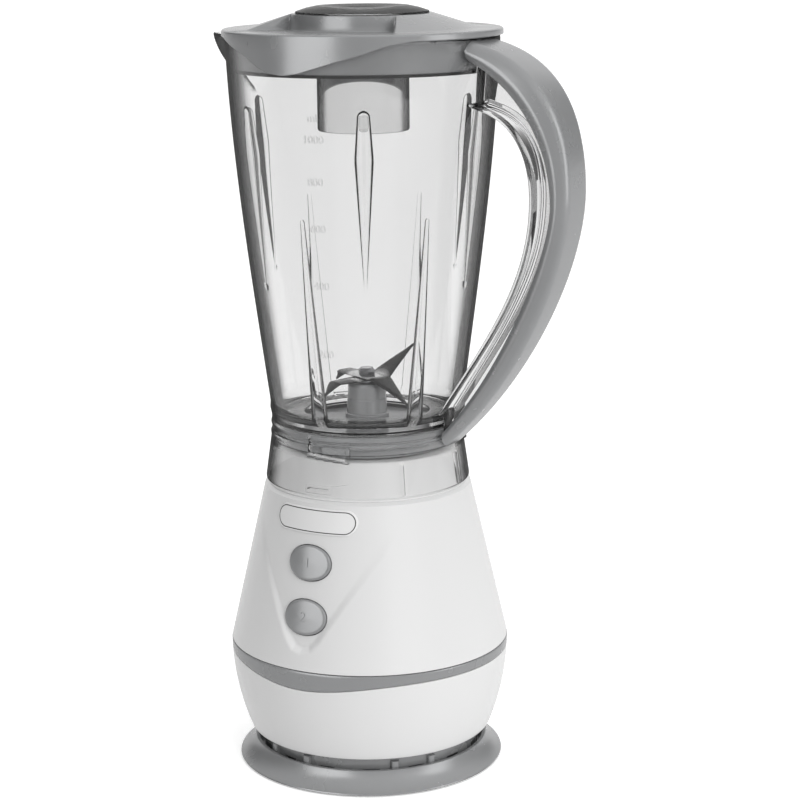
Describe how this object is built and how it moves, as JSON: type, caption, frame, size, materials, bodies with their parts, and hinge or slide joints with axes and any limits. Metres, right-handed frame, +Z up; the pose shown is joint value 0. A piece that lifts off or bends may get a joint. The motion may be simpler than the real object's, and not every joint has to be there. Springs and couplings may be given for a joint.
{
  "type": "countertop blender",
  "caption": "Countertop blender: waisted motor base with oval push buttons, flared clear ribbed jug with a bowed handle and spout, blade unit, scooped lid and measuring cap.",
  "frame": {"origin": "on the motor axis at the worktop", "axes": "+Z up along the motor axis, -Y out of the control panel, +X towards the jug's handle and -X towards its spout"},
  "size_m": [0.193, 0.1346, 0.3632],
  "materials": {
    "white_plastic": "moulded, glossy white",
    "grey_plastic": "moulded, satin silver grey",
    "badge_plastic": "printed plate, glossy",
    "clear_plastic": "moulded, clear and polished",
    "smoke_plastic": "moulded, clear with a light smoke tint",
    "black_plastic": "moulded, fine matt",
    "rubber": "matt",
    "stainless_steel": "ground and polished",
    "ground_steel": "ground",
    "zinc_steel": "zinc plated",
    "spring_steel": "drawn wire",
    "lamination_steel": "stacked laminations, oiled",
    "copper_wire": "enamelled wire",
    "copper_bar": "turned copper",
    "bearing_bronze": "sintered bronze",
    "carbon": "pressed carbon"
  },
  "bodies": {
    "base": {"anti_slip_ring": "rubber", "bottom_cover": "grey_plastic", "lower_shell": "white_plastic", "trim_band": "grey_plastic", "upper_shell": "white_plastic", "badge": "badge_plastic", "cord_inlet": "rubber", "base_screws": "zinc_steel", "shell_screws": "zinc_steel", "stator_core": "lamination_steel", "field_coils": "copper_wire", "upper_bracket": "lamination_steel", "lower_bracket": "lamination_steel", "upper_bearing": "bearing_bronze", "lower_bearing": "bearing_bronze", "brush_holders": "black_plastic", "carbon_brushes": "carbon", "motor_bolts": "zinc_steel", "motor_mounts": "rubber", "motor_screws": "zinc_steel", "switch_module": "black_plastic", "switch_screws": "zinc_steel", "interlock_switch": "black_plastic", "button_spring_1": "spring_steel", "button_spring_2": "spring_steel", "interlock_spring": "spring_steel"},
    "rotor": {"motor_shaft": "ground_steel", "armature_core": "lamination_steel", "armature_windings": "copper_wire", "commutator": "copper_bar", "cooling_fan": "black_plastic", "drive_coupling": "black_plastic", "slinger": "rubber"},
    "button_1": {"button_1": "grey_plastic"},
    "button_2": {"button_2": "grey_plastic"},
    "interlock_pin": {"interlock_pin": "black_plastic"},
    "blade_unit": {"blade_holder": "grey_plastic", "holder_gasket": "rubber", "blade_bush": "bearing_bronze", "shaft_seal": "rubber"},
    "blades": {"blade_shaft": "stainless_steel", "spindle_washer": "stainless_steel", "lower_blade": "stainless_steel", "upper_blade": "stainless_steel", "blade_nut": "stainless_steel", "driven_coupling": "black_plastic"},
    "jug": {"jug": "clear_plastic", "handle_cover": "grey_plastic"},
    "lid": {"lid": "grey_plastic", "lid_seal": "rubber"},
    "cap": {"measuring_cap": "smoke_plastic"}
  },
  "joints": [
    {"name": "rotor_spin", "type": "hinge", "parent": "base", "child": "rotor", "pos_m": [0, 0, 0.08], "axis": [0, 0, 1], "continuous": true},
    {"name": "button_1_press", "type": "slide", "parent": "base", "child": "button_1", "axis": [0, 0.9812, -0.193], "range_m": [0, 0.0022], "stiffness_N_per_m": 400, "springref_m": -0.002, "deforming": ["button_spring_1"]},
    {"name": "button_2_press", "type": "slide", "parent": "base", "child": "button_2", "axis": [0, 0.9812, -0.193], "range_m": [0, 0.0022], "stiffness_N_per_m": 400, "springref_m": -0.002, "deforming": ["button_spring_2"]},
    {"name": "interlock_press", "type": "slide", "parent": "base", "child": "interlock_pin", "axis": [0, 0, 1], "range_m": [-0.0015, 0], "stiffness_N_per_m": 300, "springref_m": 0.002, "deforming": ["interlock_spring"]},
    {"name": "jug_lift", "type": "slide", "parent": "base", "child": "blade_unit", "axis": [0, 0, 1], "range_m": [0, 0.04]},
    {"name": "blade_spin", "type": "hinge", "parent": "blade_unit", "child": "blades", "pos_m": [0, 0, 0.17], "axis": [0, 0, 1], "continuous": true},
    {"name": "jug_unscrew", "type": "hinge", "parent": "blade_unit", "child": "jug", "pos_m": [0, 0, 0.16], "axis": [0, 0, 1], "range_deg": [0, 60]},
    {"name": "lid_lift", "type": "slide", "parent": "jug", "child": "lid", "axis": [0, 0, 1], "range_m": [0, 0.06]},
    {"name": "cap_lift", "type": "slide", "parent": "lid", "child": "cap", "axis": [0, 0, 1], "range_m": [0, 0.06]}
  ],
  "couplings": [
    {"joint": "blade_spin", "follows": "rotor_spin", "ratio": 1}
  ]
}
